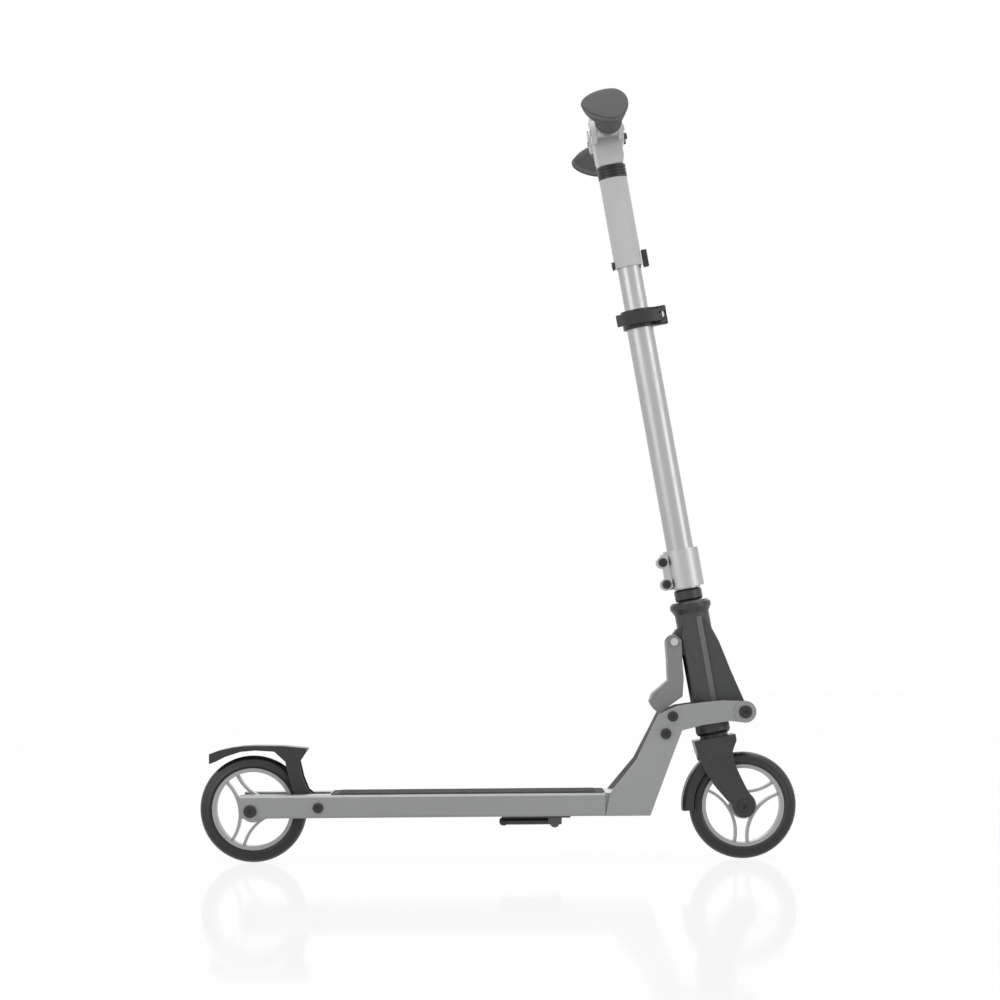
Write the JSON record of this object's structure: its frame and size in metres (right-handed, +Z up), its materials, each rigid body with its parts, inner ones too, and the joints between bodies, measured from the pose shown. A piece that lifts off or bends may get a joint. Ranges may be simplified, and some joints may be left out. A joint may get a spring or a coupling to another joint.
{
  "type": "kick scooter",
  "caption": "Folding kick scooter with a leaning telescopic column, fold-down handles, small polyurethane wheels, a fender brake and a side kickstand.",
  "frame": {"origin": "centre of the bounding box at ground level", "axes": "+X forward along the deck, +Y to the rider's left, +Z up"},
  "size_m": [0.698, 0.41, 0.8779],
  "materials": {
    "polished_aluminium": "drawn and polished, clear coated",
    "clamp_silver": "satin",
    "frame_grey": "satin metallic grey paint over aluminium",
    "matte_sleeve": "matte light grey",
    "charcoal": "matte charcoal",
    "lever_grey": "satin mid grey",
    "black_plastic": "satin black",
    "black_metal": "satin black powder coat",
    "black_bolt": "black oxide",
    "steel": "zinc plated",
    "tyre_black": "moulded polyurethane, satin",
    "rim_grey": "satin cast",
    "grip_grey": "matte moulded rubber",
    "grip_light": "matte moulded rubber",
    "mat_black": "textured grip surface"
  },
  "bodies": {
    "deck_frame": {"deck": "frame_grey", "grip_mat": "mat_black", "riser_left": "frame_grey", "riser_right": "frame_grey", "riser_bolts": "black_bolt", "fold_bolt": "black_bolt", "fold_nut": "black_bolt", "rear_axle_bolt": "black_bolt", "rear_axle_nut": "black_bolt", "rear_axle_spacers": "steel", "fender_bolt": "black_bolt", "fender_nut": "black_bolt", "kickstand_bracket": "black_metal", "kickstand_pin": "steel"},
    "neck": {"neck_housing": "charcoal", "upper_headset_cup": "black_metal", "lower_headset_cup": "black_metal", "headset_bearings": "steel", "latch_pin": "steel"},
    "fork_and_column": {"fork": "black_metal", "front_mudguard": "black_plastic", "headset_locknut": "black_metal", "column_clamp": "clamp_silver", "column_clamp_bolts": "black_bolt", "steerer_shim": "black_plastic", "outer_tube": "polished_aluminium", "release_collar": "black_plastic", "release_bolt": "steel", "release_nut": "steel", "front_axle_bolt": "black_bolt", "front_axle_nut": "black_bolt", "front_axle_spacers": "steel"},
    "upper_column": {"inner_tube": "polished_aluminium", "upper_sleeve": "matte_sleeve", "sleeve_bolt": "black_metal", "collar_band": "black_plastic", "t_head": "matte_sleeve", "handle_hinge_pins": "steel"},
    "left_handle": {"handle_tube_left": "polished_aluminium", "grip_collar_left": "grip_light", "grip_left": "grip_grey", "grip_cap_left": "grip_light"},
    "right_handle": {"handle_tube_right": "polished_aluminium", "grip_collar_right": "grip_light", "grip_right": "grip_grey", "grip_cap_right": "grip_light"},
    "left_handle_button": {"handle_button_left": "black_plastic"},
    "right_handle_button": {"handle_button_right": "black_plastic"},
    "height_lock_button": {"height_button": "black_plastic"},
    "release_lever": {"release_lever": "black_plastic"},
    "latch_lever": {"latch_lever": "lever_grey"},
    "front_wheel": {"front_tyre": "tyre_black", "front_rim": "rim_grey", "front_bearings": "steel"},
    "rear_wheel": {"rear_tyre": "tyre_black", "rear_rim": "rim_grey", "rear_bearings": "steel"},
    "rear_fender_brake": {"fender_brake": "black_plastic"},
    "kickstand": {"kickstand_leg": "black_metal", "kickstand_foot": "black_plastic"}
  },
  "joints": [
    {"name": "stem_fold", "type": "hinge", "parent": "deck_frame", "child": "neck", "pos_m": [0.2881, 0, 0.1726], "axis": [0, -1, 0], "range_deg": [0, 77]},
    {"name": "steering", "type": "hinge", "parent": "neck", "child": "fork_and_column", "pos_m": [0.25, 0, 0.166], "axis": [-0.1702, 0, 0.9854], "range_deg": [-45, 45]},
    {"name": "height_adjust", "type": "slide", "parent": "fork_and_column", "child": "upper_column", "axis": [-0.1702, 0, 0.9854], "range_m": [-0.045, 0.105]},
    {"name": "left_handle_fold", "type": "hinge", "parent": "upper_column", "child": "left_handle", "pos_m": [0.13199, 0.038, 0.84918], "axis": [-0.9854, 0, -0.1702], "range_deg": [0, 90]},
    {"name": "right_handle_fold", "type": "hinge", "parent": "upper_column", "child": "right_handle", "pos_m": [0.13199, -0.038, 0.84918], "axis": [0.9854, 0, 0.1702], "range_deg": [0, 90]},
    {"name": "left_handle_button_press", "type": "slide", "parent": "upper_column", "child": "left_handle_button", "axis": [-0.9854, 0, -0.1702], "range_m": [0, 0.003], "stiffness_N_per_m": 900, "springref_m": -0.001},
    {"name": "right_handle_button_press", "type": "slide", "parent": "upper_column", "child": "right_handle_button", "axis": [-0.9854, 0, -0.1702], "range_m": [0, 0.003], "stiffness_N_per_m": 900, "springref_m": -0.001},
    {"name": "height_button_press", "type": "slide", "parent": "upper_column", "child": "height_lock_button", "axis": [-0.9854, 0, -0.1702], "range_m": [0, 0.002], "stiffness_N_per_m": 900, "springref_m": -0.001},
    {"name": "release_lever_open", "type": "hinge", "parent": "fork_and_column", "child": "release_lever", "pos_m": [0.19651, -0.013, 0.63727], "axis": [-0.1702, 0, 0.9854], "range_deg": [0, 100]},
    {"name": "latch_press", "type": "hinge", "parent": "neck", "child": "latch_lever", "pos_m": [0.20703, 0, 0.25438], "axis": [0, 1, 0], "range_deg": [0, 11], "stiffness_Nm_per_rad": 1.5, "springref_deg": -5.73},
    {"name": "front_wheel_spin", "type": "hinge", "parent": "fork_and_column", "child": "front_wheel", "pos_m": [0.2865, 0, 0.0625], "axis": [0, 1, 0], "continuous": true},
    {"name": "rear_wheel_spin", "type": "hinge", "parent": "deck_frame", "child": "rear_wheel", "pos_m": [-0.2865, 0, 0.0625], "axis": [0, 1, 0], "continuous": true},
    {"name": "brake_press", "type": "hinge", "parent": "deck_frame", "child": "rear_fender_brake", "pos_m": [-0.208, 0, 0.066], "axis": [0, -1, 0], "range_deg": [0, 3.9], "stiffness_Nm_per_rad": 6, "springref_deg": -2.86},
    {"name": "kickstand_fold", "type": "hinge", "parent": "deck_frame", "child": "kickstand", "pos_m": [0.066, -0.014, 0.0463], "axis": [0, -0.7891, 0.6143], "range_deg": [0, 78]}
  ]
}
